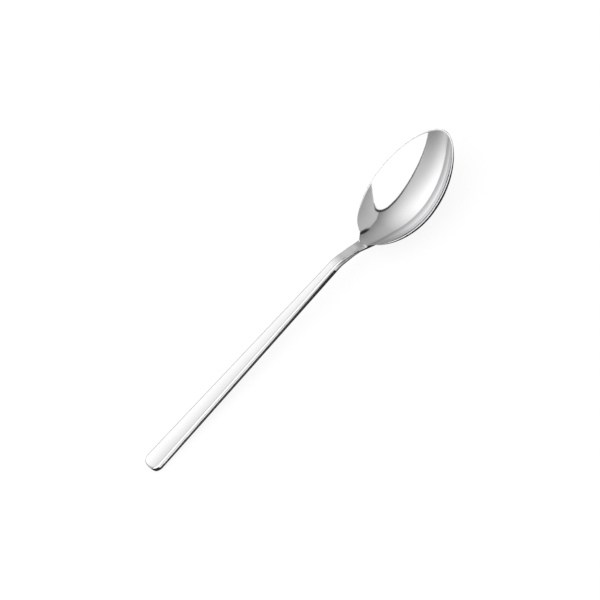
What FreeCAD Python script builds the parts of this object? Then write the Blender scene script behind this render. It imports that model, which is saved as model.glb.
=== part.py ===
import FreeCAD, Part
import os
import Sketcher
from FreeCAD import Vector

# Demitasse spoon, in millimetres and degrees.
# +X runs from the handle's end to the bowl's tip, +Y to the left, +Z up. The spoon lies on z = 0 as on a
# table, on the bowl's underside and on the lower edge of the handle's end. The origin is under its middle.
# Each piece is drawn level with the bowl's rim, and one tilt then lays all three down.

os.makedirs("parts", exist_ok=True)
doc = FreeCAD.newDocument("demitasse_spoon")

# Driving sizes
SIZES = [
    # bowl, a pressed sheet
    ("bowl_front", "19.6", "deepest point forward to the tip's outer edge"),
    ("bowl_back", "17.2", "deepest point back to the heel's outer edge"),
    ("bowl_depth", "5.95", "inside, below the lowest point of the rim"),
    ("cross_radius", "13.65", "inside radius across the deepest point"),
    ("bowl_wall", "0.7", "sheet of the bowl"),
    ("rim_sag", "1.4", "how far the rim dips between tip and heel"),
    # root, where the neck spreads into the bowl
    ("root_lead", "1", "heel's outer edge back to where the neck's top line meets the rim line"),
    ("heel_blend", "12", "radius of the top line from the neck into the rim"),
    ("root_length", "2.2", "from that meeting point up the neck to the joint"),
    ("root_width", "3", "section at the joint"),
    ("root_thickness", "1.35", "section at the joint"),
    ("root_edge", "0.45", "rounding of the top edges from the joint to the heel"),
    ("flare_width", "6", "spread where the root reaches the heel"),
    ("blend_share", "0.2", "part of that spread which is reached at the blend's middle"),
    ("flare_reach", "1.7", "how far the root runs on inside the sheet"),
    ("flare_sink", "0.35", "drop of the root's end below the rim"),
    ("flare_edge", "0.85", "rounding under the root's spread"),
    # neck, drawn down between the bowl and the handle
    ("neck_angle", "28", "rise over the rim line, degrees"),
    ("neck_length", "7.3", "meeting point with the rim line to the bend's corner"),
    ("bend_radius", "10", "top of the bend into the handle"),
    # handle, a flat bar
    ("handle_angle", "7.65", "rise over the rim line, degrees"),
    ("handle_length", "71.5", "bend's corner to the end"),
    ("handle_width", "5.95", "at the end"),
    ("bar_width", "2.85", "at the bend"),
    ("bar_thickness", "2.1", "all along"),
    ("shoulder", "0.65", "rounding of the top edges"),
    ("belly", "0.5", "rounding of the lower edges"),
    ("end_corner", "1.4", "corner radius of the end, seen from above"),
    ("end_bow", "6", "radius of the bowed end, seen from above"),
    ("overrun", "2", "how far a cut runs past what it cuts"),
]


def make_sheet():
    sheet = doc.addObject("Spreadsheet::Sheet", "sizes")
    for row, (alias, value, note) in enumerate(SIZES, start=1):
        sheet.set(f"A{row}", alias)
        sheet.set(f"B{row}", value)
        sheet.set(f"C{row}", note)
        sheet.setAlias(f"B{row}", alias)
    doc.recompute()


# Places and angles that follow from the sizes, level with the rim: x from the deepest point, z from the rim's
# lowest point
LAYOUT = [
    ("axis_height", "sizes.cross_radius - sizes.bowl_depth"),
    ("lip_height", "sizes.bowl_depth + sizes.bowl_wall + sizes.rim_sag"),
    ("heel_arc", "(sizes.bowl_back ^ 2 + layout.lip_height ^ 2) / (2 * layout.lip_height)"),
    ("tip_arc", "(sizes.bowl_front ^ 2 + layout.lip_height ^ 2) / (2 * layout.lip_height)"),
    ("rim_middle", "(sizes.bowl_front - sizes.bowl_back) / 2"),
    ("rim_half", "(sizes.bowl_front + sizes.bowl_back) / 2"),
    ("rim_arc", "(layout.rim_half ^ 2 + sizes.rim_sag ^ 2) / (2 * sizes.rim_sag)"),
    ("cut_reach", "sqrt(layout.tip_arc ^ 2 - (layout.tip_arc - sizes.cross_radius - sizes.bowl_wall) ^ 2)"
                  " + sizes.overrun"),
    # heel: the corner of the top line, and the blend that rounds it
    ("heel_reach", "sizes.bowl_back + sizes.root_lead"),
    ("heel_run", "layout.heel_reach + layout.rim_middle"),
    ("heel_z", "layout.rim_arc - sqrt(layout.rim_arc ^ 2 - layout.heel_run ^ 2)"),
    ("rim_lean", "asin(layout.heel_run / layout.rim_arc)"),
    ("heel_turn", "sizes.neck_angle - layout.rim_lean"),
    ("blend_run", "sizes.heel_blend * tan(layout.heel_turn / 2)"),
    ("blend_lift", "sizes.heel_blend * (1 / cos(layout.heel_turn / 2) - 1)"),
    ("mid_lean", "(sizes.neck_angle + layout.rim_lean) / 2"),
    ("joint_x", "-layout.heel_reach - sizes.root_length * cos(sizes.neck_angle)"),
    ("joint_z", "layout.heel_z + sizes.root_length * sin(sizes.neck_angle)"),
    # bend between neck and handle
    ("bend_angle", "sizes.neck_angle - sizes.handle_angle"),
    ("bend_run", "sizes.bend_radius * tan(layout.bend_angle / 2)"),
    ("neck_straight", "sizes.neck_length - sizes.root_length - layout.bend_run"),
    ("corner_x", "-layout.heel_reach - sizes.neck_length * cos(sizes.neck_angle)"),
    ("corner_z", "layout.heel_z + sizes.neck_length * sin(sizes.neck_angle)"),
    ("bar_x", "layout.corner_x - layout.bend_run * cos(sizes.handle_angle)"),
    ("bar_z", "layout.corner_z + layout.bend_run * sin(sizes.handle_angle)"),
    ("bar_length", "sizes.handle_length - layout.bend_run"),
    # centres of the two roundings at the handle's end: the lower one stands on the table, the upper one is
    # the farthest point
    ("foot_along", "layout.bar_length - sizes.belly"),
    ("foot_down", "sizes.bar_thickness - sizes.belly"),
    ("foot_x", "layout.bar_x - layout.foot_along * cos(sizes.handle_angle)"
               " - layout.foot_down * sin(sizes.handle_angle)"),
    ("foot_z", "layout.bar_z + layout.foot_along * sin(sizes.handle_angle)"
               " - layout.foot_down * cos(sizes.handle_angle)"),
    ("head_along", "layout.bar_length - sizes.shoulder"),
    ("head_x", "layout.bar_x - layout.head_along * cos(sizes.handle_angle)"
               " - sizes.shoulder * sin(sizes.handle_angle)"),
    ("head_z", "layout.bar_z + layout.head_along * sin(sizes.handle_angle)"
               " - sizes.shoulder * cos(sizes.handle_angle)"),
    # the tilt that brings the underside of the bowl and the handle's foot to one level
    ("belly_z", "layout.heel_arc - sizes.bowl_depth - sizes.bowl_wall"),
    ("rise", "layout.belly_z - layout.foot_z"),
    ("rest_tilt", "asin((layout.heel_arc - sizes.belly) / hypot(layout.foot_x; layout.rise))"
                  " - atan2(layout.rise; -layout.foot_x)"),
    ("rest_height", "layout.heel_arc - layout.belly_z * cos(layout.rest_tilt)"),
    ("front_x", "sizes.bowl_front * cos(layout.rest_tilt) - sizes.rim_sag * sin(layout.rest_tilt)"),
    ("rear_x", "layout.head_x * cos(layout.rest_tilt) - layout.head_z * sin(layout.rest_tilt)"
               " - sizes.shoulder"),
    ("middle_x", "(layout.front_x + layout.rear_x) / 2"),
]


def make_layout():
    layout = doc.addObject("App::VarSet", "layout")
    for name, formula in LAYOUT:
        layout.addProperty("App::PropertyFloat", name, "Layout")
        layout.setExpression(name, formula)
        doc.recompute()


def make_body(label, x, z, lean):
    """A body drawn level with the rim from (x, 0, z), leaning down by lean, then laid on the table."""
    body = doc.addObject("PartDesign::Body", label)
    body.Label = label
    body.setExpression(
        "Placement",
        f"placement(vector(({x}) * cos(layout.rest_tilt) - ({z}) * sin(layout.rest_tilt) - layout.middle_x;"
        f" 0; ({x}) * sin(layout.rest_tilt) + ({z}) * cos(layout.rest_tilt) + layout.rest_height);"
        f" rotation(vector(0; 1; 0); {lean} - layout.rest_tilt))")
    return body


def make_sketch(body, name, plane, offset=None):
    """A sketch on one of the body's own planes, moved by an offset if it has one."""
    sketch = body.newObject("Sketcher::SketchObject", name)
    origin_plane = next(f for f in body.Origin.OriginFeatures if f.Role == plane)
    sketch.AttachmentSupport = [(origin_plane, "")]
    sketch.MapMode = "FlatFace"
    if offset:
        up, along, lean = offset
        sketch.setExpression(
            "AttachmentOffset",
            f"placement(vector(0; {up}; {along}); rotation(vector(1; 0; 0); {lean}))")
    return sketch


def bind(sketch, constraint, formula, name):
    """Adds a named dimension whose value is a formula."""
    index = sketch.addConstraint(constraint)
    sketch.renameConstraint(index, name)
    sketch.setExpression(f"Constraints.{name}", formula)


def value(formula):
    """The number that a formula gives now, to draw a sketch near its final form."""
    return float(doc.getObject("layout").evalExpression(formula))


START, END, CENTRE = range(1, 4)
H_AXIS, V_AXIS = range(-1, -3, -1)
SAME_PLACE = 0.001  # points closer than this are one point


def line(x1, y1, x2, y2):
    return Part.LineSegment(Vector(x1, y1, 0), Vector(x2, y2, 0))


def circle(x, y, radius):
    return Part.Circle(Vector(x, y, 0), Vector(0, 0, 1), radius)


def arc_between(x, y, radius, x1, y1, x2, y2):
    """The arc about (x, y) that runs counter-clockwise from one point to the other."""
    whole = circle(x, y, radius)
    return Part.ArcOfCircle(whole, whole.parameter(Vector(x1, y1, 0)), whole.parameter(Vector(x2, y2, 0)))


def chain(sketch, kind, pieces):
    """Joins the end of each piece to the start of the next."""
    for this, following in zip(pieces, pieces[1:]):
        sketch.addConstraint(Sketcher.Constraint(kind, this, END, following, START))


def rounded_section(body, name, offset, width, thickness, top_radius, low_radius):
    """A bar's cross-section hanging under the plane's own x axis, its four corners rounded."""
    sketch = make_sketch(body, name, "YZ_Plane", offset)
    half, deep = value(width) / 2, value(thickness)
    top, low = value(top_radius), value(low_radius)

    # counter-clockwise from the top line, which runs from right to left
    loop = sketch.addGeometry([
        line(half - top, 0, top - half, 0),
        arc_between(top - half, -top, top, top - half, 0, -half, -top),
        line(-half, -top, -half, low - deep),
        arc_between(low - half, low - deep, low, -half, low - deep, low - half, -deep),
        line(low - half, -deep, half - low, -deep),
        arc_between(half - low, low - deep, low, half - low, -deep, half, low - deep),
        line(half, low - deep, half, -top),
        arc_between(half - top, -top, top, half, -top, half - top, 0)])
    chain(sketch, "Tangent", [*loop, loop[0]])
    upper, upper_left, left, lower_left, lower, lower_right, right, upper_right = loop
    for kind, index in (("Horizontal", lower), ("Vertical", left), ("Vertical", right)):
        sketch.addConstraint(Sketcher.Constraint(kind, index))
    sketch.addConstraint(Sketcher.Constraint("PointOnObject", upper, START, H_AXIS))
    sketch.addConstraint(Sketcher.Constraint("Symmetric", upper, START, upper, END, V_AXIS))
    sketch.addConstraint(Sketcher.Constraint("Equal", upper_left, upper_right))
    sketch.addConstraint(Sketcher.Constraint("Equal", lower_left, lower_right))
    bind(sketch, Sketcher.Constraint("Radius", upper_left, top), top_radius, "top_radius")
    bind(sketch, Sketcher.Constraint("Radius", lower_left, low), low_radius, "low_radius")
    bind(sketch, Sketcher.Constraint("DistanceX", left, START, right, END, 2 * half), width, "width")
    bind(sketch, Sketcher.Constraint("DistanceY", lower, START, upper, END, deep), thickness, "thickness")
    return sketch


def bowl_profile(body, name, heel, tip, deep):
    """Half of the bowl's long section: two arcs that share the lowest point, and the x axis."""
    sketch = make_sketch(body, name, "XZ_Plane")
    bottom, back, front = value(deep), value(heel), value(tip)

    x_back, x_front = ((radius ** 2 - (radius - bottom) ** 2) ** 0.5 for radius in (back, front))
    back_arc, front_arc, axis = sketch.addGeometry([
        arc_between(0, back - bottom, back, -x_back, 0, 0, -bottom),
        arc_between(0, front - bottom, front, 0, -bottom, x_front, 0),
        line(x_front, 0, -x_back, 0)])
    chain(sketch, "Coincident", [back_arc, front_arc, axis, back_arc])
    for index, point, on in ((back_arc, CENTRE, V_AXIS), (front_arc, CENTRE, V_AXIS), (back_arc, END, V_AXIS),
                             (back_arc, START, H_AXIS), (front_arc, END, H_AXIS)):
        sketch.addConstraint(Sketcher.Constraint("PointOnObject", index, point, on))
    bind(sketch, Sketcher.Constraint("Radius", back_arc, back), heel, "heel_arc")
    bind(sketch, Sketcher.Constraint("Radius", front_arc, front), tip, "tip_arc")
    bind(sketch, Sketcher.Constraint("DistanceY", back_arc, END, H_AXIS, START, bottom), deep, "depth")
    return sketch


def turn(body, kind, name, sketch, angle):
    """A revolution or a groove about the sketch's own x axis, as far to each side of the sketch's plane."""
    feature = body.newObject(f"PartDesign::{kind}", name)
    feature.Profile = sketch
    feature.ReferenceAxis = (sketch, ["H_Axis"])
    feature.Angle = angle
    feature.Midplane = True
    doc.recompute()
    return feature


# Bowl: a pressed sheet, round across, two arcs along, its rim ground to one long arc. The root spreads from
# its heel.
def make_bowl():
    body = make_body("bowl", "0 * layout.axis_height", "layout.axis_height", "0")
    half_turn = 180
    outside = bowl_profile(body, "outside_profile", "layout.heel_arc", "layout.tip_arc",
                           "sizes.cross_radius + sizes.bowl_wall")
    turn(body, "Revolution", "outside", outside, half_turn)

    # the rim's arc, with everything above it taken off
    sketch = make_sketch(body, "rim_line", "XZ_Plane")
    radius, middle = value("layout.rim_arc"), value("layout.rim_middle")
    level, reach = value("layout.axis_height"), value("layout.cut_reach")
    height, up = value("sizes.overrun"), radius - level
    rise = up - (radius ** 2 - reach ** 2) ** 0.5
    left, right = middle - reach, middle + reach
    rim_curve, side_right, lid, side_left = sketch.addGeometry([
        arc_between(middle, up, radius, left, rise, right, rise),
        line(right, rise, right, height), line(right, height, left, height), line(left, height, left, rise)])
    chain(sketch, "Coincident", [rim_curve, side_right, lid, side_left, rim_curve])
    for kind, index in (("Horizontal", lid), ("Vertical", side_left), ("Vertical", side_right)):
        sketch.addConstraint(Sketcher.Constraint(kind, index))
    bind(sketch, Sketcher.Constraint("Radius", rim_curve, radius), "layout.rim_arc", "rim_arc")
    bind(sketch, Sketcher.Constraint("DistanceX", H_AXIS, START, rim_curve, CENTRE, middle),
         "layout.rim_middle", "middle")
    bind(sketch, Sketcher.Constraint("DistanceY", H_AXIS, START, rim_curve, CENTRE, up),
         "layout.rim_arc - layout.axis_height", "level")
    bind(sketch, Sketcher.Constraint("DistanceX", rim_curve, START, rim_curve, CENTRE, reach),
         "layout.cut_reach", "back")
    bind(sketch, Sketcher.Constraint("DistanceX", rim_curve, CENTRE, rim_curve, END, reach),
         "layout.cut_reach", "front")
    bind(sketch, Sketcher.Constraint("DistanceY", H_AXIS, START, lid, START, height),
         "sizes.overrun", "height")
    rim = body.newObject("PartDesign::Pocket", "rim")
    rim.Profile = sketch
    rim.Type = "Length"
    rim.Midplane = True
    rim.setExpression("Length", "2 * (sizes.cross_radius + sizes.bowl_wall + sizes.overrun)")
    doc.recompute()

    # the root, from the joint through the blend into the sheet
    heel_x, heel_z = "-layout.heel_reach", "layout.heel_z"
    below_axis = "- layout.axis_height"
    inward = "layout.blend_run + sizes.flare_reach"
    top_edge = "sizes.root_edge"
    blend_width = "sizes.root_width + (sizes.flare_width - sizes.root_width) * sizes.blend_share"
    stations = [
        ("root_joint", "layout.joint_x", "layout.joint_z", "sizes.neck_angle", "sizes.root_width",
         "sizes.root_thickness", "sizes.shoulder"),
        ("root_blend", f"{heel_x} + layout.blend_lift * sin(layout.mid_lean)",
         f"{heel_z} + layout.blend_lift * cos(layout.mid_lean)", "layout.mid_lean",
         blend_width, "sizes.root_thickness",
         "(sizes.shoulder + sizes.flare_edge) / 2"),
        ("root_heel", f"{heel_x} + layout.blend_run * cos(layout.rim_lean)",
         f"{heel_z} - layout.blend_run * sin(layout.rim_lean)", "layout.rim_lean", "sizes.flare_width",
         "sizes.root_thickness", "sizes.flare_edge"),
        ("root_end", f"{heel_x} + ({inward}) * cos(layout.rim_lean)",
         f"{heel_z} - ({inward}) * sin(layout.rim_lean) - sizes.flare_sink", "layout.rim_lean",
         "sizes.flare_width", "sizes.root_thickness - sizes.flare_sink", "sizes.flare_edge"),
    ]
    sections = [rounded_section(body, name, (f"{z} {below_axis}", x, lean), width, thickness,
                                top_edge, low_edge)
                for name, x, z, lean, width, thickness, low_edge in stations]
    root = body.newObject("PartDesign::AdditiveLoft", "root")
    root.Profile = sections[0]
    root.Sections = sections[1:]
    doc.recompute()

    inside = bowl_profile(body, "inside_profile", "layout.heel_arc - sizes.bowl_wall",
                          "layout.tip_arc - sizes.bowl_wall", "sizes.cross_radius")
    turn(body, "Groove", "inside", inside, half_turn)
    return body


# Neck: slim, straight at first, then bent into the handle's line
def make_neck():
    body = make_body("neck", "layout.joint_x", "layout.joint_z", "sizes.neck_angle")
    turn_steps = 3
    straight = "layout.neck_straight"
    whole = f"({straight} + sizes.bend_radius * sin(layout.bend_angle))"
    stations = [("neck_joint", "0", "0", "0")]
    for step in range(turn_steps + 1):
        angle = f"layout.bend_angle * {step} / {turn_steps}"
        stations.append((f"neck_bend_{step}", f"-sizes.bend_radius * (1 - cos({angle}))",
                         f"-{straight} - sizes.bend_radius * sin({angle})", f"-{angle}"))

    def between(first, last, along):
        return f"{first} + ({last} - {first}) * (-({along})) / {whole}"

    sections = [rounded_section(body, name, (up, along, lean),
                                between("sizes.root_width", "sizes.bar_width", along),
                                between("sizes.root_thickness", "sizes.bar_thickness", along),
                                between("sizes.root_edge", "sizes.shoulder", along),
                                between("sizes.shoulder", "sizes.belly", along))
                for name, up, along, lean in stations]
    neck = body.newObject("PartDesign::AdditiveLoft", "swept_neck")
    neck.Profile = sections[0]
    neck.Sections = sections[1:]
    doc.recompute()
    return body


def round_loop(body, name, base, level, radius):
    """Rounds the edges that lie at one level of the bar, all but the one at the bend."""
    edges = [f"Edge{number}" for number, edge in enumerate(base.Shape.Edges, start=1)
             if all(abs(vertex.Z - level) < SAME_PLACE for vertex in edge.Vertexes)
             and any(vertex.X < -SAME_PLACE for vertex in edge.Vertexes)]
    feature = body.newObject("PartDesign::Fillet", name)
    feature.Base = (base, edges)
    feature.setExpression("Radius", radius)
    doc.recompute()
    return feature


# Handle: a flat bar that widens to a bowed end with round corners
def make_handle():
    body = make_body("handle", "layout.bar_x", "layout.bar_z", "sizes.handle_angle")
    sketch = make_sketch(body, "plan", "XY_Plane")
    length = value("layout.bar_length")
    near, far, corner, bow = (value(f"sizes.{name}") for name in
                              ("bar_width", "handle_width", "end_corner", "end_bow"))
    # counter-clockwise: start edge, left side, left corner, bowed end, right corner, right side
    inner = far / 2 - corner
    loop = sketch.addGeometry([
        line(0, -near / 2, 0, near / 2),
        line(0, near / 2, corner - length, far / 2),
        arc_between(corner - length, inner, corner, corner - length, far / 2, -length, inner),
        arc_between(bow - length, 0, bow, -length, inner, -length, -inner),
        arc_between(corner - length, -inner, corner, -length, -inner, corner - length, -far / 2),
        line(corner - length, -far / 2, 0, -near / 2)])
    start, left, left_corner, end, right_corner, right = loop
    chain(sketch, "Tangent", [left, left_corner, end, right_corner, right])
    chain(sketch, "Coincident", [right, start, left])
    sketch.addConstraint(Sketcher.Constraint("PointOnObject", start, START, V_AXIS))
    sketch.addConstraint(Sketcher.Constraint("Symmetric", start, START, start, END, H_AXIS))
    sketch.addConstraint(Sketcher.Constraint("Symmetric", left, END, right, START, H_AXIS))
    sketch.addConstraint(Sketcher.Constraint("PointOnObject", end, CENTRE, H_AXIS))
    bind(sketch, Sketcher.Constraint("Radius", left_corner, corner), "sizes.end_corner", "corner")
    bind(sketch, Sketcher.Constraint("Radius", end, bow), "sizes.end_bow", "bow")
    bind(sketch, Sketcher.Constraint("DistanceY", start, START, start, END, near),
         "sizes.bar_width", "bar_width")
    bind(sketch, Sketcher.Constraint("DistanceX", end, CENTRE, H_AXIS, START, length - bow),
         "layout.bar_length - sizes.end_bow", "length")
    # the sides aim at the full width where the bar ends
    aim = sketch.addGeometry(Part.Point(Vector(-length, far / 2, 0)), True)
    bind(sketch, Sketcher.Constraint("DistanceX", aim, START, H_AXIS, START, length),
         "layout.bar_length", "aim_x")
    bind(sketch, Sketcher.Constraint("DistanceY", H_AXIS, START, aim, START, far / 2),
         "sizes.handle_width / 2", "aim_y")
    sketch.addConstraint(Sketcher.Constraint("PointOnObject", aim, START, left))
    bar = body.newObject("PartDesign::Pad", "bar")
    bar.Profile = sketch
    bar.setExpression("Length", "sizes.bar_thickness")
    bar.Reversed = True
    doc.recompute()
    top = round_loop(body, "rounded_shoulders", bar, 0, "sizes.shoulder")
    round_loop(body, "rounded_belly", top, -value("sizes.bar_thickness"), "sizes.belly")
    return body


def check(thing):
    """Stops at a feature that didn't come out, or at a shape that isn't sound."""
    if "Invalid" in thing.State or "Error" in thing.State:
        raise RuntimeError(f"{thing.Label}: {thing.State}")
    if hasattr(thing, "Shape") and thing in bodies:
        if thing.Shape.isNull() or not thing.Shape.isValid() or len(thing.Shape.Solids) != 1:
            raise RuntimeError(f"{thing.Label}: bad shape")


def export(body):
    """Writes parts/NODE.step and prints what it holds."""
    body.Shape.exportStep(f"parts/{body.Label}.step")
    box = body.Shape.BoundBox
    print(f"{body.Label}: faces {len(body.Shape.Faces)}, volume {body.Shape.Volume:.1f} mm3,"
          f" x {box.XMin:.2f}..{box.XMax:.2f}, y {box.YMin:.2f}..{box.YMax:.2f},"
          f" z {box.ZMin:.2f}..{box.ZMax:.2f}")


make_sheet()
make_layout()
bodies = [make_bowl(), make_neck(), make_handle()]
doc.recompute()
for thing in doc.Objects:
    check(thing)
for finished in bodies:
    export(finished)
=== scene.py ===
# %% [markdown]
# # A small coffee spoon in polished steel
# The spoon is one forging: a bar is rolled thin at one end, the bowl is pressed from the thin end, and
# everything is ground and polished. Three pieces are made here, as in the CAD model: bowl, neck and
# handle. All of them are measured in the same sizes, and nothing on the spoon moves.

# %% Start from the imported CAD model
import math

import bmesh
import bpy
import numpy as np
from mathutils import Matrix, Vector


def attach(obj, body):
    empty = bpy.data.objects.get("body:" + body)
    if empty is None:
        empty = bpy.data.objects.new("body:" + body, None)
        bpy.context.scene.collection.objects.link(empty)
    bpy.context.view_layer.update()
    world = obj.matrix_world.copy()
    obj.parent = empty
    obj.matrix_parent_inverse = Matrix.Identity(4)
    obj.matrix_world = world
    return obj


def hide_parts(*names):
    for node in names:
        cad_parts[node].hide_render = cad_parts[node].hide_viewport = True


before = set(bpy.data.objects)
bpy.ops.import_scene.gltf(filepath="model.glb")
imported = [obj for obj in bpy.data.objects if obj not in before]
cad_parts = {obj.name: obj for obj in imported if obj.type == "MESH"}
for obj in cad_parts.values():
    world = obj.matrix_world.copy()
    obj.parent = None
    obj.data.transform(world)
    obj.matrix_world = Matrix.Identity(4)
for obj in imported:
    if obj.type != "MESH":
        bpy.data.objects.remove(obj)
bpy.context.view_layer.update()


# %% [markdown]
# ## Line of the spoon
# Everything is drawn in millimetres, level with the bowl's rim: x runs from the bowl's deepest point to
# the tip, and z is measured from the rim's lowest point. Seen from the side, the neck leaves the rim at
# the heel, rises at one angle, and bends into the flatter line of the handle. The drawing is then tilted,
# because the spoon stands on its bowl and on the end of its handle. Drawing level with the rim keeps the
# formulas short, and one matrix takes every piece to its place at the end.

# %% Sizes that the pieces share
MM = 0.001
heel_reach, heel_lift = 18.2, 1.557
root_length, root_width, root_thickness = 2.2, 3.0, 1.35
root_top_round, root_low_round = 0.45, 0.55
neck_lean, handle_lean = math.radians(28.0), math.radians(7.65)
neck_length, neck_arch, bend_radius = 7.3, 0.5, 10.0
bar_width, bar_thickness = 2.85, 2.1
shoulder_round, belly_round = 0.65, 0.5
rest_tilt, middle_x, rest_height = math.radians(11.5454), -38.7567, 6.9687

bend_angle = neck_lean - handle_lean
bend_run = bend_radius * math.tan(bend_angle / 2)
straight_length = neck_length - bend_run


def rim_frame(x, z, lean):
    """The matrix from a piece's own millimetres, drawn from (x, 0, z) and leaning down, to its place."""
    rested = Matrix.Rotation(-rest_tilt, 4, "Y")
    place = Matrix.Translation((-middle_x, 0, rest_height)) @ rested @ Matrix.Translation((x, 0, z))
    return Matrix.Scale(MM, 4) @ place @ Matrix.Rotation(lean, 4, "Y")


print("the neck is straight for", round(straight_length, 2), "mm and then turns by",
      round(math.degrees(bend_angle), 2), "degrees")

# %% [markdown]
# ## Camera
# The photograph looks down at the spoon from its right-hand side with a long lens, turned so that the
# spoon lies across the picture. A long lens from far away keeps both ends of the spoon nearly the same
# scale. Its place and its three axes are given level with the rim, as all sizes are.

# %% Camera
camera_place = Vector((36.345, -509.572, 577.421))
camera_right = Vector((0.60581, -0.55263, -0.57236))
camera_up = Vector((0.78968, 0.50532, 0.34794))
camera_back = Vector((0.09695, -0.66276, 0.74253))

camera_data = bpy.data.cameras.new("camera")
camera_data.sensor_width = 36
camera_data.lens = 179.53
camera = bpy.data.objects.new("camera", camera_data)
bpy.context.scene.collection.objects.link(camera)
level_place = rim_frame(0, 0, 0)
level_turn = level_place.to_3x3().normalized()
camera_turn = Matrix([level_turn @ axis for axis in (camera_right, camera_up, camera_back)]).transposed()
camera.matrix_world = Matrix.Translation(level_place @ camera_place) @ camera_turn.to_4x4()
bpy.context.scene.camera = camera
print("camera is", round(camera.location.length, 3), "m from the spoon")

# %% [markdown]
# ## A skin over a described shape
# The bowl and its root run into one another in soft hollows, which are hard to draw with separate faces.
# They are easy to describe: for any point in space, a formula says how far it is from the steel. The skin
# is then laid where that distance is nought. This needs helpers for joining such distances: one leaves a
# round hollow where two shapes meet, one rounds the edge where one cuts the other, and one lets a size
# change softly along the spoon.


# %% Joining distances
def hollow_join(a, b, radius):
    """Both shapes together, with a hollow of this radius where they meet."""
    hollow = np.hypot(np.maximum(radius - a, 0), np.maximum(radius - b, 0))
    return np.maximum(radius, np.minimum(a, b)) - hollow


def rounded_cut(a, b, radius):
    """What lies in both shapes, with an edge of this radius where they cross."""
    edge_round = np.hypot(np.maximum(radius + a, 0), np.maximum(radius + b, 0))
    return np.minimum(-radius, np.maximum(a, b)) + edge_round


def passing(value, start, end):
    """Softly from 0 to 1 as the value goes from start to end."""
    t = np.clip((value - start) / (end - start), 0, 1)
    return t * t * (3 - 2 * t)


print("a hollow of 1 mm fills a square corner by", round(float(-hollow_join(0, 0, 1)), 3), "mm")

# %% [markdown]
# The skin is found on a fine grid of cells. Each grid line that enters or leaves the steel crosses the
# surface once, and becomes one face between the four cells round it. Each cell that the surface passes
# through gets a point. Where the steel is thinner than a cell, as at the rim of the heel, both sides can pass
# through one cell. Then each side is a sheet of its own and gets its own point, so that every edge of the
# mesh still has exactly two faces.


# %% Where the grid lines cross the surface
def edge_number(axis, place):
    """A number for each of a cell's 12 edges, from whether it is low or high on the two other axes."""
    one, other = (place[k] for k in range(3) if k != axis)
    return 4 * axis + 2 * one + other


def find_crossings(field, low, cell):
    """The crossings, the four cells round each, its edge number in each, and which faces to turn round."""
    points, cells, edges, flips = [], [], [], []
    for axis in range(3):
        ahead, behind = [slice(None)] * 3, [slice(None)] * 3
        ahead[axis], behind[axis] = slice(1, None), slice(None, -1)
        first, second = field[tuple(behind)], field[tuple(ahead)]
        where = np.argwhere((first < 0) != (second < 0))
        a, b = first[tuple(where.T)], second[tuple(where.T)]
        crossing = np.array(low) + cell * where.astype(float)
        crossing[:, axis] += cell * a / (a - b)
        others = [k for k in range(3) if k != axis]
        around, numbers = [], []
        for back in ((0, 0), (1, 0), (1, 1), (0, 1)):
            beside = where.copy()
            beside[:, others] -= back
            around.append(beside)
            numbers.append(edge_number(axis, dict(zip(others, back))))
        points.append(crossing)
        cells.append(np.stack(around, 1))
        edges.append(np.tile(numbers, (len(where), 1)))
        flips.append((a < 0) == (axis == 1))
    return [np.concatenate(part) for part in (points, cells, edges, flips)]


# %% Which sheet of the skin a crossing belongs to
def face_links(corner):
    """Pairs of a cell's edges that the surface joins across one of its faces, and in which cells."""
    links = []
    for axis in range(3):
        u, v = (k for k in range(3) if k != axis)
        for level in (0, 1):
            face = np.take(corner, level, axis + 1)
            crosswise = (face[:, 0, 0] == face[:, 1, 1]) & (face[:, 0, 1] == face[:, 1, 0])
            twice = crosswise & (face[:, 0, 0] != face[:, 0, 1])
            along_u = [edge_number(u, {axis: level, v: j}) for j in (0, 1)]
            along_v = [edge_number(v, {axis: level, u: i}) for i in (0, 1)]
            cut_u = [face[:, 0, j] != face[:, 1, j] for j in (0, 1)]
            cut_v = [face[:, i, 0] != face[:, i, 1] for i in (0, 1)]
            links.append((*along_u, cut_u[0] & cut_u[1] & ~twice))
            links.append((*along_v, cut_v[0] & cut_v[1] & ~twice))
            for i, j in np.ndindex(2, 2):
                links.append((along_u[j], along_v[i], cut_u[j] & cut_v[i] & ~(twice & face[:, i, j])))
    return links


def find_sheets(corner, sweeps=6):
    """For each of the 12 edges of every cell, the lowest edge on the same sheet of the skin."""
    sheet = np.tile(np.arange(12), (len(corner), 1))
    links = face_links(corner)
    for sweep in range(sweeps):
        for one, other, linked in links:
            least = np.minimum(sheet[linked, one], sheet[linked, other])
            sheet[linked, one] = sheet[linked, other] = least
    return sheet


# %% [markdown]
# The points are then evened out and pushed onto the exact surface, so that the mirror polish shows no
# facets. The slope of the distance gives the direction of the shading. A ball is a good first test,
# because every point of its skin should be as far from the middle as any other.


# %% Laying the skin
def slope(distance, points, step=1e-3):
    """Which way the distance grows at each point, and how fast."""
    sides = [(distance(points + d) - distance(points - d)) / (2 * step) for d in np.eye(3) * step]
    return np.stack(sides, -1)


def join_points(field, crossings, cells, edges, flips):
    """One point for each sheet in each cell, and one face for each crossing."""
    numbers = np.ravel_multi_index(tuple(np.moveaxis(cells, -1, 0)), field.shape)
    used, row = np.unique(numbers, return_inverse=True)
    row = row.reshape(edges.shape)
    at = np.array(np.unravel_index(used, field.shape))
    corner = [field[tuple(at + np.array(step)[:, None])] < 0 for step in np.ndindex(2, 2, 2)]
    sheet = find_sheets(np.stack(corner, 1).reshape(-1, 2, 2, 2))[row, edges]
    names, quads = np.unique(row * 12 + sheet, return_inverse=True)
    quads = quads.reshape(edges.shape)
    points = np.zeros((len(names), 3))
    for column in quads.T:
        np.add.at(points, column, crossings)
    points /= np.bincount(quads.ravel())[:, None]
    quads[flips] = quads[flips][:, ::-1]
    return points, quads


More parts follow.
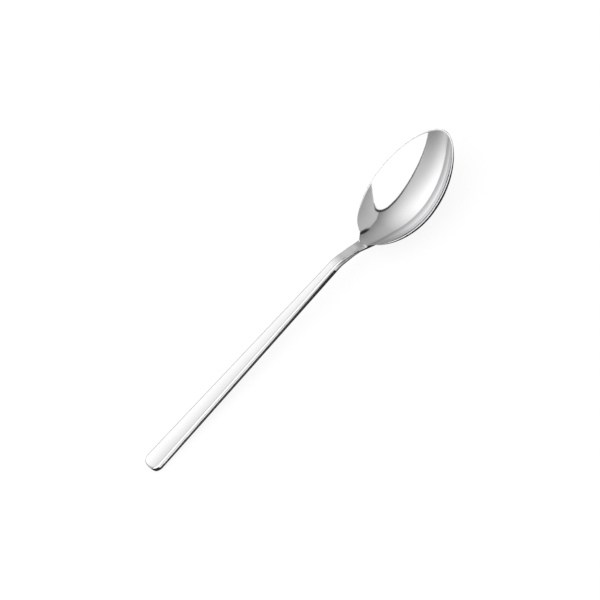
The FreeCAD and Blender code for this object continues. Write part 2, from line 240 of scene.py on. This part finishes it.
def settle(distance, points, quads, cell, turns=8, even_turns=6):
    """Pushes the points onto the surface and, in the first turns, evens them out along it."""
    lines = np.concatenate([quads[:, [k, (k + 1) % 4]] for k in range(4)])
    for turn in range(turns):
        steer = slope(distance, points)
        length = np.maximum(np.linalg.norm(steer, axis=1, keepdims=True), 1e-6)
        out = steer / length
        points -= np.clip(distance(points)[:, None] / length, -cell / 2, cell / 2) * out
        if turn < even_turns:
            near, count = np.zeros_like(points), np.zeros(len(points))
            for one, other in ((0, 1), (1, 0)):
                np.add.at(near, lines[:, one], points[lines[:, other]])
                np.add.at(count, lines[:, one], 1)
            move = near / count[:, None] - points
            points += (move - out * (move * out).sum(1, keepdims=True)) / 2


def lay_skin(distance, low, high, cell):
    """Points, four-sided faces and shading directions of the skin over a described shape."""
    counts = [int(math.ceil((end - start) / cell)) + 1 for start, end in zip(low, high)]
    axes = [start + cell * np.arange(count) for start, count in zip(low, counts)]
    grid = np.stack(np.meshgrid(*axes, indexing="ij"), -1)
    field = np.stack([distance(layer.reshape(-1, 3)).reshape(layer.shape[:2]) for layer in grid])
    points, quads = join_points(field, *find_crossings(field, low, cell))
    settle(distance, points, quads, cell)
    normals = slope(distance, points)
    return points, quads, normals / np.maximum(np.linalg.norm(normals, axis=1, keepdims=True), 1e-9)


ball_points = lay_skin(lambda p: np.linalg.norm(p, axis=1) - 1, (-1.3,) * 3, (1.3,) * 3, 0.2)[0]
ball_error = np.abs(np.linalg.norm(ball_points, axis=1) - 1).max()
print("a ball of 1 mm gets", len(ball_points), "points, off by at most", round(float(ball_error), 5), "mm")


# %% From a skin to an object
def skin_object(name, skin, matrix):
    """A mesh object from a laid skin, with its place in the mesh and the exact shading directions."""
    points, quads, normals = skin
    turn, move = np.array(matrix.to_3x3()), np.array(matrix.translation)
    mesh = bpy.data.meshes.new(name)
    mesh.from_pydata((points @ turn.T + move).tolist(), [], quads.tolist())
    mesh.polygons.foreach_set("use_smooth", [True] * len(mesh.polygons))
    directions = normals @ (turn / np.linalg.norm(turn[0])).T
    mesh.update()
    mesh.normals_split_custom_set_from_vertices(directions.tolist())
    piece = bpy.data.objects.new(name, mesh)
    bpy.context.scene.collection.objects.link(piece)
    print(name, "has", len(points), "points and", len(quads), "faces")
    return piece


# %% [markdown]
# ## Bowl
# A pressed bowl is round across and follows two arcs along, the heel's a little tighter than the tip's.
# The sheet is equally thick all over, so outside and inside are the same form at two distances. Only at
# the heel does the inside leave that form: it is polished out in a much flatter arc, so that it runs onto
# the neck without a step.

# %% Pressed form
cross_radius, bowl_depth, wall = 13.65, 5.95, 0.7
heel_arc, tip_arc, arc_blend = 21.7, 27.186, 4.0
ramp, ramp_arc = math.radians(28.5), 60.0
axis_height = cross_radius - bowl_depth


def long_arc(p):
    """The radius of the arc along the bowl, and the distance across from the line of its centres."""
    arc = heel_arc + (tip_arc - heel_arc) * passing(p[:, 0], -arc_blend, arc_blend)
    return arc, np.hypot(p[:, 1], axis_height - p[:, 2]) + arc - cross_radius


def outer_face(p, offset):
    """Distance from the bowl's form, this far outside its pressed inner face."""
    arc, across = long_arc(p)
    return np.hypot(p[:, 0], across) - arc - offset


def inner_face(p, offset):
    """The same on the inside, which past the ramp's slope at the heel goes on in the flatter arc."""
    arc, across = long_arc(p)
    rise, level = math.sin(ramp), math.cos(ramp)
    more = ramp_arc - arc
    flatter = np.hypot(p[:, 0] - more * rise, across + more * level) - more
    on_ramp = -p[:, 0] * level > across * rise
    return np.where(on_ramp, flatter, np.hypot(p[:, 0], across)) - arc - offset


deepest = np.array([[0, 0, -bowl_depth]])
print("inside at the deepest point is off by", round(float(inner_face(deepest, 0)[0]), 4), "mm")

# %% [markdown]
# The blank is trimmed along its rim, and the same cut runs on along the top of the neck. So one height
# says what is cut away: above the rim's long, shallow arc, or above the neck's line past the heel. The
# neck's top bulges a little where it leaves the bowl, and is faintly crowned there. Behind the heel the
# rim's cut drops away quickly, which leaves nothing but the neck.

# %% Height above the rim and the neck
rim_arc, rim_middle, corner_blend = 121.61, 1.2, 0.3
ground_outside, ground_inside, ground_depth = 0.40, 0.05, 1.8
root_crown, crown_fade, crown_limit = 0.08, 1.8, 1.6
drop_slope, drop_start, drop_from, drop_full = 1.5, 0.35, 10.0, 13.0


def arch(share):
    """How far the neck's top bulges above straight, by the share of the way from the heel to the bend."""
    return neck_arch * share * (1 - np.clip(share, 0, 1)) ** 2


def along_neck(p):
    """How far a point is along the neck, from where it leaves the rim."""
    return (p[:, 2] - heel_lift) * math.sin(neck_lean) - (p[:, 0] + heel_reach) * math.cos(neck_lean)


def rim_height(p):
    height = p[:, 2] - rim_arc + np.sqrt(rim_arc ** 2 - (p[:, 0] - rim_middle) ** 2)
    behind = np.maximum(outer_face(p, wall - ground_outside) - drop_start, 0)
    return height + drop_slope * behind * passing(-p[:, 0], drop_from, drop_full)


def neck_height(p):
    height = (p[:, 0] + heel_reach) * math.sin(neck_lean) + (p[:, 2] - heel_lift) * math.cos(neck_lean)
    across = np.minimum(np.abs(p[:, 1]) / (root_width / 2), crown_limit)
    crown = root_crown * (1 - passing(-p[:, 0], heel_reach, heel_reach + crown_fade)) * (1 - across ** 2)
    return height - arch(along_neck(p) / straight_length) - crown


def top_height(p):
    """Height above the lower of the two, with a soft corner between them."""
    rim, neck = rim_height(p), neck_height(p)
    overlap = np.maximum(corner_blend - np.abs(rim - neck), 0)
    return np.minimum(rim, neck) - overlap ** 2 / (4 * corner_blend)


heel_point = np.array([[-heel_reach, 0, heel_lift]])
print("the crown rises", round(float(-top_height(heel_point)[0]), 3), "mm over the corner at the heel")

# %% [markdown]
# The rim is ground thin from the outside over its last two millimetres, and its edges are polished round.
# That thin edge is what draws two fine dark lines along the near side of the bowl. The root is a short
# bar under the neck's top line that sinks into the heel. It is a little narrower underneath, and a hollow
# that widens downwards joins it to the bowl.

# %% Bowl and root
rim_outer_round, rim_inner_round, heel_round = 0.10, 0.10, 0.02
heel_from, heel_full = 12.5, 15.0
root_taper, root_deepest, root_fillet, fillet_growth = 0.12, 1.5, 1.7, 0.6
bowl_low, bowl_high = (-21.4, -12.9, -7.0), (20.4, 12.9, 3.6)
bowl_cell = 0.16


def bowl_distance(p):
    height = top_height(p)
    ground = np.clip(1 + height / ground_depth, 0, 1) ** 2
    outside = outer_face(p, wall - ground_outside * ground)
    inside = inner_face(p, ground_inside * ground)
    depth = np.clip(-height / root_thickness, 0, root_deepest)
    side = np.abs(p[:, 1]) - root_width / 2 + root_taper * depth
    root = rounded_cut(side, -height - root_thickness, root_low_round)
    root = np.maximum(root, p[:, 0] + heel_reach / 3)
    solid = hollow_join(outside, root, root_fillet * (1 + fillet_growth * depth))
    past_heel = passing(-p[:, 0], heel_full, heel_reach)
    solid = rounded_cut(solid, height, rim_outer_round + (root_top_round - rim_outer_round) * past_heel)
    at_heel = passing(-p[:, 0], heel_from, heel_full)
    solid = rounded_cut(solid, -inside, rim_inner_round + (heel_round - rim_inner_round) * at_heel)
    return np.maximum(solid, along_neck(p) - root_length)


bowl = skin_object("bowl_skin", lay_skin(bowl_distance, bowl_low, bowl_high, bowl_cell), level_place)

# %% [markdown]
# ## Formulas as nodes
# The neck follows a rule, a bar's section carried along a bend, so it is made by Geometry Nodes. A small
# class writes a formula as Math nodes, so that a tree built here reads like the formula itself. The same
# class is used later for the finishes and for the studio.


# %% Formulas written as nodes
class Formula:
    """A number that a node tree works out. Sums of formulas add nodes to the same tree."""

    def __init__(self, tree, socket):
        self.tree, self.socket = tree, socket

    def math(self, operation, *others, clamp=False):
        node = self.tree.nodes.new("ShaderNodeMath")
        node.operation, node.use_clamp = operation, clamp
        for slot, item in zip(node.inputs, (self, *others)):
            if isinstance(item, Formula):
                self.tree.links.new(item.socket, slot)
            else:
                slot.default_value = item
        return Formula(self.tree, node.outputs[0])

    def __add__(self, other):
        return self.math("ADD", other)

    def __sub__(self, other):
        return self.math("SUBTRACT", other)

    def __mul__(self, other):
        return self.math("MULTIPLY", other)

    def __truediv__(self, other):
        return self.math("DIVIDE", other)

    def __neg__(self):
        return self * -1

    def __rsub__(self, other):
        return -self + other

    def clamped(self):
        return self.math("ADD", 0, clamp=True)

    def positive(self):
        return self.math("MAXIMUM", 0)

    def blend(self, other, share):
        """This where the share is 0, the other where it is 1."""
        return self * (1 - share) + share * other


def separate(tree, socket):
    node = tree.nodes.new("ShaderNodeSeparateXYZ")
    tree.links.new(socket, node.inputs[0])
    return [Formula(tree, out) for out in node.outputs]


def combine(tree, *numbers):
    node = tree.nodes.new("ShaderNodeCombineXYZ")
    for slot, number in zip(node.inputs, numbers):
        tree.links.new(number.socket, slot)
    return node.outputs[0]


# %% [markdown]
# A Geometry Nodes tree has its sizes as named inputs. It ends in Realize Instances and Set Material,
# because an export drops what is only an instance. The tree runs on an empty mesh, and its result is kept
# as a plain mesh, without the modifier.


# %% Trees that make a piece
def geometry_tree(name, inputs):
    """A tree with named number inputs, a material input and a geometry output."""
    tree = bpy.data.node_groups.new(name, "GeometryNodeTree")
    for title in inputs:
        tree.interface.new_socket(title, in_out="INPUT", socket_type="NodeSocketFloat")
    tree.interface.new_socket("Steel", in_out="INPUT", socket_type="NodeSocketMaterial")
    tree.interface.new_socket("Geometry", in_out="OUTPUT", socket_type="NodeSocketGeometry")
    start = tree.nodes.new("NodeGroupInput")
    return tree, {title: Formula(tree, start.outputs[title]) for title in [*inputs, "Steel"]}


def close_tree(tree, geometry, steel_input):
    """Realize Instances, Set Material, and the output."""
    realize = tree.nodes.new("GeometryNodeRealizeInstances")
    paint = tree.nodes.new("GeometryNodeSetMaterial")
    end = tree.nodes.new("NodeGroupOutput")
    tree.links.new(geometry, realize.inputs[0])
    tree.links.new(realize.outputs[0], paint.inputs["Geometry"])
    tree.links.new(steel_input.socket, paint.inputs["Material"])
    tree.links.new(paint.outputs[0], end.inputs["Geometry"])


def grown(name, tree, values, material):
    """Runs a tree on an empty mesh and gives back the plain mesh object that it makes."""
    holder = bpy.data.objects.new(name + "_holder", bpy.data.meshes.new(name + "_holder"))
    bpy.context.scene.collection.objects.link(holder)
    modifier = holder.modifiers.new("grow", "NODES")
    modifier.node_group = tree
    for item in tree.interface.items_tree:
        if item.in_out == "INPUT":
            modifier[item.identifier] = material if item.name == "Steel" else float(values[item.name])
    evaluated = holder.evaluated_get(bpy.context.evaluated_depsgraph_get())
    mesh = bpy.data.meshes.new_from_object(evaluated)
    bpy.data.objects.remove(holder)
    mesh.name = name
    piece = bpy.data.objects.new(name, mesh)
    bpy.context.scene.collection.objects.link(piece)
    print(name, "has", len(mesh.vertices), "points and", len(mesh.polygons), "faces")
    return piece


# %% [markdown]
# ## Steel
# All three pieces are the same polished steel. Its look comes from fine things: a faint drift in tone,
# very fine polishing lines with a few hair scratches, and soft scuffs where the spoon rests on tables.
# One node group makes these values from Object coordinates, and each material sets how strong they are.

# %% Polish marks, shared by every steel
cloud_scale, hair_scale, hair_share, hair_contrast = 160, 2.3, 0.68, 8
scuff_height = 0.0012


def polish_group():
    tree = bpy.data.node_groups.new("polish_marks", "ShaderNodeTree")
    for title, kind in (("Vector", "NodeSocketVector"), ("Lines", "NodeSocketVector"),
                        ("Smoothest", "NodeSocketFloat"), ("Roughest", "NodeSocketFloat")):
        tree.interface.new_socket(title, in_out="INPUT", socket_type=kind)
    for title in ("Tone", "Roughness", "Height"):
        tree.interface.new_socket(title, in_out="OUTPUT", socket_type="NodeSocketFloat")
    start, end = tree.nodes.new("NodeGroupInput"), tree.nodes.new("NodeGroupOutput")

    def noise(scale, detail, vector):
        node = tree.nodes.new("ShaderNodeTexNoise")
        node.inputs["Scale"].default_value, node.inputs["Detail"].default_value = scale, detail
        tree.links.new(vector, node.inputs["Vector"])
        return Formula(tree, node.outputs["Fac"])

    stretch = tree.nodes.new("ShaderNodeVectorMath")
    stretch.operation = "MULTIPLY"
    tree.links.new(start.outputs["Vector"], stretch.inputs[0])
    tree.links.new(start.outputs["Lines"], stretch.inputs[1])
    lines = noise(1, detail=3, vector=stretch.outputs[0])
    clouds = noise(cloud_scale, detail=2, vector=start.outputs["Vector"])
    hairs = noise(hair_scale, detail=1, vector=stretch.outputs[0])
    scratch = ((hairs - hair_share) * hair_contrast).clamped()
    scuff = (1 - separate(tree, start.outputs["Vector"])[2] / scuff_height).clamped()
    amount = (lines * 0.5 + clouds * 0.5 + scratch * 0.4 + scuff * 0.5).clamped()
    low, high = Formula(tree, start.outputs["Smoothest"]), Formula(tree, start.outputs["Roughest"])
    tree.links.new(clouds.socket, end.inputs["Tone"])
    tree.links.new((low + (high - low) * amount).socket, end.inputs["Roughness"])
    tree.links.new((lines * 0.6 + scratch * 0.4).socket, end.inputs["Height"])
    return tree


polish = polish_group()
print("the polish is worked out by", len(polish.nodes), "nodes")

# %% Steel of the three pieces
dark_tone, light_tone = (0.80, 0.80, 0.81, 1), (0.86, 0.86, 0.865, 1)
line_depth = 0.00002


def steel(name, lines, smoothest, roughest, bump):
    """Polished steel. The lines are how fine its polishing lines are along x, y and z."""
    material = bpy.data.materials.new(name)
    material.use_nodes = True
    tree = material.node_tree
    shader = tree.nodes["Principled BSDF"]
    shader.inputs["Metallic"].default_value = 1
    place = tree.nodes.new("ShaderNodeTexCoord")
    marks = tree.nodes.new("ShaderNodeGroup")
    marks.node_tree = polish
    tree.links.new(place.outputs["Object"], marks.inputs["Vector"])
    marks.inputs["Lines"].default_value = lines
    marks.inputs["Smoothest"].default_value = smoothest
    marks.inputs["Roughest"].default_value = roughest
    tone = tree.nodes.new("ShaderNodeMix")
    tone.data_type = "RGBA"
    tone.inputs["A"].default_value, tone.inputs["B"].default_value = dark_tone, light_tone
    tree.links.new(marks.outputs["Tone"], tone.inputs["Factor"])
    tree.links.new(tone.outputs["Result"], shader.inputs["Base Color"])
    tree.links.new(marks.outputs["Roughness"], shader.inputs["Roughness"])
    relief = tree.nodes.new("ShaderNodeBump")
    relief.inputs["Strength"].default_value = bump
    relief.inputs["Distance"].default_value = line_depth
    tree.links.new(marks.outputs["Height"], relief.inputs["Height"])
    tree.links.new(relief.outputs["Normal"], shader.inputs["Normal"])
    return material


bowl_steel = steel("bowl_steel", (900, 1500, 1500), smoothest=0.05, roughest=0.10, bump=0.15)
neck_steel = steel("neck_steel", (700, 5000, 5000), smoothest=0.10, roughest=0.20, bump=0.25)
handle_steel = steel("handle_steel", (250, 6000, 6000), smoothest=0.05, roughest=0.11, bump=0.15)
bowl.data.materials.append(bowl_steel)
print("steels:", bowl_steel.name, neck_steel.name, handle_steel.name)

# %% [markdown]
# ## Neck
# The neck is drawn down to a slim bar that leaves the heel nearly straight and then bends into the
# handle's line. The tree lays a grid of points over it: one way counts along the path, the other way goes
# round the section. First comes the path, which runs a little into both neighbours, so that no seam shows.

# %% Path of the neck
around_count, along_count, weld_distance = 65, 90, 1e-4
neck_inputs = ["Straight", "Bend Radius", "Bend Angle", "Overlap", "Start Width", "End Width",
               "Start Thickness", "End Thickness", "Start Top Round", "End Top Round",
               "Start Low Round", "End Low Round", "Inset", "Arch", "Root"]
neck_tree, n = geometry_tree("neck_bar", neck_inputs)
grid = neck_tree.nodes.new("GeometryNodeMeshGrid")
grid.inputs["Size X"].default_value, grid.inputs["Size Y"].default_value = 1, 1
grid.inputs["Vertices X"].default_value = along_count
grid.inputs["Vertices Y"].default_value = around_count
where = neck_tree.nodes.new("GeometryNodeInputPosition")
u, v, _ = separate(neck_tree, where.outputs[0])
u, v = (u + 0.5).clamped(), v + 0.5

bend_length = n["Bend Radius"] * n["Bend Angle"]
along = u * (n["Straight"] + bend_length + n["Overlap"] * 2) - n["Overlap"]
turned = ((along - n["Straight"]) / n["Bend Radius"]).positive().math("MINIMUM", n["Bend Angle"])
before = along.math("MINIMUM", n["Straight"])
after = (along - n["Straight"] - bend_length).positive()
path_x = -(before + n["Bend Radius"] * turned.math("SINE") + after * n["Bend Angle"].math("COSINE"))
path_z = -(n["Bend Radius"] * (1 - turned.math("COSINE")) + after * n["Bend Angle"].math("SINE"))
run = (along + n["Root"]) / (n["Straight"] + n["Root"])
left = 1 - run.clamped()
path_z = path_z + n["Arch"] * run * left * left
share = (along / (n["Straight"] + bend_length)).clamped()
print("the path is worked out by", len(neck_tree.nodes), "nodes")

# %% [markdown]
# The section goes round quarter by quarter, with a round corner in each. Its width, its thickness and its
# corners change evenly from the root's to the handle's. It lies a hair under the skins of its neighbours
# where it overlaps them.


# %% Section of the neck
def between(title):
    """A size of the section, which changes evenly along the neck."""
    return n["Start " + title].blend(n["End " + title], share)


quarter = (v * 4).math("FLOOR").math("MINIMUM", 3)
corner_turn = v * (2 * math.pi)
middle_turn = (quarter + 0.5) * (math.pi / 2)
side, up = middle_turn.math("COSINE").math("SIGN"), middle_turn.math("SINE").math("SIGN")
corner = between("Low Round").blend(between("Top Round"), (up + 1) / 2)
half_width, half_deep = between("Width") / 2 - n["Inset"], between("Thickness") / 2 - n["Inset"]
section_y = side * (half_width - corner) + corner * corner_turn.math("COSINE")
section_up = up * (half_deep - corner) + corner * corner_turn.math("SINE") - between("Thickness") / 2
point_x = path_x - section_up * turned.math("SINE")
point_z = path_z + section_up * turned.math("COSINE")

shape = neck_tree.nodes.new("GeometryNodeSetPosition")
neck_tree.links.new(grid.outputs["Mesh"], shape.inputs["Geometry"])
neck_tree.links.new(combine(neck_tree, point_x, section_y, point_z), shape.inputs["Position"])
weld = neck_tree.nodes.new("GeometryNodeMergeByDistance")
weld.inputs["Distance"].default_value = weld_distance
smooth = neck_tree.nodes.new("GeometryNodeSetShadeSmooth")
neck_tree.links.new(shape.outputs[0], weld.inputs[0])
neck_tree.links.new(weld.outputs[0], smooth.inputs[0])
close_tree(neck_tree, smooth.outputs[0], n["Steel"])

neck = grown("neck_bar", neck_tree, {
    "Straight": straight_length - root_length, "Bend Radius": bend_radius, "Bend Angle": bend_angle,
    "Overlap": 1.2, "Inset": 0.006, "Arch": neck_arch, "Root": root_length,
    "Start Width": root_width, "End Width": bar_width,
    "Start Thickness": root_thickness, "End Thickness": bar_thickness,
    "Start Top Round": root_top_round, "End Top Round": shoulder_round,
    "Start Low Round": root_low_round, "End Low Round": belly_round}, neck_steel)

# %% [markdown]
# The two open ends are inside the neighbours. They are closed all the same, because a closed piece is
# solid wherever the part is used. Then one matrix lays the neck in its place.


# %% Close the neck and lay it in its place
def cap_ends(mesh):
    shaped = bmesh.new()
    shaped.from_mesh(mesh)
    bmesh.ops.holes_fill(shaped, edges=[edge for edge in shaped.edges if edge.is_boundary], sides=0)
    bmesh.ops.recalc_face_normals(shaped, faces=shaped.faces)
    for face in shaped.faces:
        if len(face.verts) > 4:
            face.smooth = False
            for edge in face.edges:
                edge.smooth = False
    print("edges left open:", sum(edge.is_boundary for edge in shaped.edges))
    shaped.to_mesh(mesh)
    shaped.free()


cap_ends(neck.data)
joint_x = -heel_reach - root_length * math.cos(neck_lean)
joint_z = heel_lift + root_length * math.sin(neck_lean)
neck.data.transform(rim_frame(joint_x, joint_z, neck_lean))

# %% [markdown]
# ## Handle
# The handle is cut from flat bar: straight sides that spread towards the end, round corners and a
# slightly bowed end. Grinding and polishing then leave its top faintly crowned and its edges round, wider
# on the shoulders than underneath. All of that is one distance again, so the same skin is laid over it.

# %% Handle as a cut and polished bar
handle_length, handle_width = 71.5, 5.95
end_corner, end_bow, crown_radius = 1.4, 6.0, 13.0
handle_low, handle_high = (-71.0, -3.3, -2.4), (0.5, 3.3, 0.3)
handle_cell = 0.2


def handle_distance(p):
    x, y, z = p.T
    length = handle_length - bend_run
    spread = (handle_width - bar_width) / 2 / length
    side = (np.abs(y) - bar_width / 2 + x * spread) * math.cos(math.atan(spread))
    from_centre = x + length - end_bow
    end = np.where(from_centre < 0, np.hypot(from_centre, y), np.abs(y)) - end_bow
    outline = rounded_cut(side, end, end_corner)
    top = z + y * y / (2 * crown_radius)
    solid = rounded_cut(outline, top, shoulder_round)
    solid = rounded_cut(solid, -z - bar_thickness, belly_round)
    return np.maximum(solid, x)


bar_x = -heel_reach - neck_length * math.cos(neck_lean) - bend_run * math.cos(handle_lean)
bar_z = heel_lift + neck_length * math.sin(neck_lean) + bend_run * math.sin(handle_lean)
handle = skin_object("handle_skin", lay_skin(handle_distance, handle_low, handle_high, handle_cell),
                     rim_frame(bar_x, bar_z, handle_lean))
handle.data.materials.append(handle_steel)

# %% [markdown]
# ## On the body
# Each piece takes the place of its CAD node, which stays in the physics model. Nothing on a spoon moves,
# so all three ride on the only body.

# %% Put the pieces on the body
for piece, node_name in ((bowl, "bowl"), (neck, "neck"), (handle, "handle")):
    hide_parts(node_name)
    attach(piece, "root")
    print(piece.name, "stands for the CAD node", node_name)

# %% [markdown]
# ## Floor
# The spoon lies on a plain white table, which keeps its shadow. To the camera the table is mostly its own
# white, so that it melts into the background. Mirror reflections pass through it, because what the steel
# shows of the table, with a painted shadow of the spoon on it, is painted with the rest of the studio.

# %% Floor
floor_reach, floor_gap, own_white = 3.0, 0.0001, 0.88
corners = [(side_x * floor_reach, side_y * floor_reach, -floor_gap)
           for side_x, side_y in ((-1, -1), (1, -1), (1, 1), (-1, 1))]
floor_mesh = bpy.data.meshes.new("floor")
floor_mesh.from_pydata(corners, [], [(0, 1, 2, 3)])
floor = bpy.data.objects.new("floor", floor_mesh)
bpy.context.scene.collection.objects.link(floor)

floor_paint = bpy.data.materials.new("floor_white")
floor_paint.use_nodes = True
tree = floor_paint.node_tree
tree.nodes.clear()
paper, glow, clear = (tree.nodes.new(kind) for kind in (
    "ShaderNodeBsdfDiffuse", "ShaderNodeEmission", "ShaderNodeBsdfTransparent"))
white, choice = tree.nodes.new("ShaderNodeMixShader"), tree.nodes.new("ShaderNodeMixShader")
rays, surface = tree.nodes.new("ShaderNodeLightPath"), tree.nodes.new("ShaderNodeOutputMaterial")
paper.inputs["Color"].default_value = (1, 1, 1, 1)
tree.links.new((Formula(tree, rays.outputs["Is Camera Ray"]) * own_white).socket, white.inputs["Fac"])
tree.links.new(paper.outputs[0], white.inputs[1])
tree.links.new(glow.outputs[0], white.inputs[2])
tree.links.new(rays.outputs["Is Glossy Ray"], choice.inputs["Fac"])
tree.links.new(white.outputs[0], choice.inputs[1])
tree.links.new(clear.outputs[0], choice.inputs[2])
tree.links.new(choice.outputs[0], surface.inputs[0])
floor_mesh.materials.append(floor_paint)
print("the floor is", 2 * floor_reach, "m wide")

# %% [markdown]
# ## Studio
# Polished steel has almost no look of its own: it shows the studio around it. The world is therefore
# painted as that studio, by direction, and only mirror reflections see it. First comes the room behind
# everything, with three soft glows, darker low down in front of the tip.

# %% Backdrop of the studio
world = bpy.data.worlds.new("studio")
bpy.context.scene.world = world
world.use_nodes = True
tree = world.node_tree
coords = tree.nodes.new("ShaderNodeTexCoord")
x, y, z = separate(tree, coords.outputs["Generated"])


def edge(value, width):
    """Nought to one as the value passes nought, over this width."""
    return (value / width + 0.5).clamped()


def soft_glow(azimuth, elevation, spread, strength):
    """A light spot in that direction, in degrees, which fades out all round."""
    a, e = math.radians(azimuth), math.radians(elevation)
    nearness = x * (math.cos(a) * math.cos(e)) + y * (math.sin(a) * math.cos(e)) + z * math.sin(e)
    return ((nearness - 1) / spread).math("EXPONENT") * strength


backdrop = soft_glow(110, 17, 0.26, 1.14) + soft_glow(80, 60, 0.20, 0.54) + soft_glow(216, 42, 0.34, 0.55)
low_height, tip_slope, low_shade = 0.25, 3.3, 0.6
low_down, towards_tip = (1 - z / low_height).clamped(), (x * tip_slope + 0.5).clamped()
backdrop = backdrop * (1 - low_down * towards_tip * low_shade)
print("backdrop:", len(tree.nodes), "nodes")

# %% [markdown]
# Overhead hangs a large soft box, on the camera's side. It is drawn in plan, as on a ceiling one unit
# high, so its sides stay straight: two sides with a round corner between them. Its dark frame gives the
# bright shape in the bowl a black outline.

# %% Soft box and its frame
box_reach, box_side, box_corner = 0.59, -0.03, 0.35
reach_lean, reach_lean_from, side_lean = 0.18, 0.7, 0.09
box_light, frame_dark, sharp = 1.25, 0.02, 0.02
frame_thin, frame_more, frame_more_from = 0.05, 0.04, -0.4
lowest_level = 0.02
level = z.math("MAXIMUM", lowest_level)
plan_x, plan_y = x / level, y / level
past_reach = plan_x - box_reach + (-plan_y - reach_lean_from).positive() * reach_lean
past_side = plan_y - box_side - plan_x.math("MINIMUM", 0) * side_lean
corner_x, corner_y = (past_reach + box_corner).positive(), (past_side + box_corner).positive()
inside = box_corner - (corner_x * corner_x + corner_y * corner_y).math("SQRT")
box = edge(inside, sharp)
frame_width = (plan_x - frame_more_from).clamped() * frame_more + frame_thin
print("soft box:", len(tree.nodes), "nodes so far")

# %% [markdown]
# Beside the box stands a grey card, which fills the far side of the heel with an even grey. The dark
# frame ends in a short hook over the card. A dark oval spot farther out is the black mark at the end of
# the card.

# %% Card, hook and spot
card_start, card_slant, card_set, card_soft = 0.3, 1.2, 0.79, 0.03
card_low, card_more, card_more_from, card_more_slope = 0.43, 0.18, 0.55, 4
hook_from, hook_slope, hook_share = -0.675, 2, 0.1
spot_dark, spot_blur = 0.01, 0.4


def oval(at_x, at_y, turn_x, turn_y, long_weight, wide_weight):
    """1 on the outline of an oval in plan, less inside it."""
    from_x, from_y = plan_x - at_x, plan_y - at_y
    lengthwise, widthwise = from_x * turn_x - from_y * turn_y, from_x * turn_y + from_y * turn_x
    return (lengthwise * lengthwise * long_weight + widthwise * widthwise * wide_weight).math("SQRT")


card = edge(plan_x - card_start, sharp) * edge(plan_x * card_slant - plan_y - card_set, card_soft)
card_level = ((z - card_more_from) * card_more_slope).clamped() * card_more + card_low
hook = ((plan_y - hook_from) * hook_slope).clamped()
frame_share = 1 - card * (1 - hook)
no_hook = card * (1 - edge(hook - hook_share, hook_share))
dark = edge(inside + frame_width * frame_share, sharp) * (1 - no_hook)
spot_reach = oval(at_x=1.02, at_y=0.30, turn_x=0.3, turn_y=0.95, long_weight=50, wide_weight=130)
spot = edge(1 - spot_reach, spot_blur)
above = backdrop.blend(card_level, card).blend(frame_dark, dark).blend(spot_dark, spot).blend(box_light, box)
print("card, hook and spot:", len(tree.nodes), "nodes so far")

# %% [markdown]
# What lies below the spoon is the table. In the photograph the lower edges of the steel are black, so the
# table beside and under the spoon is painted nearly dark, as a painted shadow of the spoon on it; its lit
# part shows only in front, and a paler part behind. Matt things and the camera see none of this, but plain
# white light.

# %% Table below, and the light for everything matt
# Levels of the table below; the darkest ones are a painted shadow of the spoon on the table.
front_light, behind_light, table_shadow_level, deepest_table_shadow, plain_light = 1.1, 0.7, 0.12, 0.03, 1.15
front_lowest, front_right, front_left = -0.72, 0.07, -0.3
behind_side, behind_back, behind_fade, table_shadow_fade = 0.15, 0.2, 1.6, 4
in_front = edge(z - front_lowest, 0.05) * edge(front_right - x, 0.03) * edge(x - front_left, 0.1)
in_front = in_front * edge(-y, 0.1)
behind = edge(-x - behind_side, 0.2) * edge(y - behind_back, 0.2) * (z * behind_fade + 1).clamped()
# Painted shadow: the table beside and under the spoon is painted dark, darkest straight down.
beside = (z * table_shadow_fade + 1).clamped() * table_shadow_level + deepest_table_shadow
ground = beside.blend(front_light, in_front).blend(behind_light, behind)
studio = above.blend(ground, edge(-z, sharp))
rays = tree.nodes.new("ShaderNodeLightPath")
glossy = Formula(tree, rays.outputs["Is Glossy Ray"])
sky = tree.nodes["Background"]
sky.inputs["Color"].default_value = (1, 1, 1, 1)
tree.links.new((studio * glossy + (1 - glossy) * plain_light).socket, sky.inputs["Strength"])
bpy.context.scene.view_settings.view_transform = "Standard"
print("the studio is painted by", len(tree.nodes), "nodes")
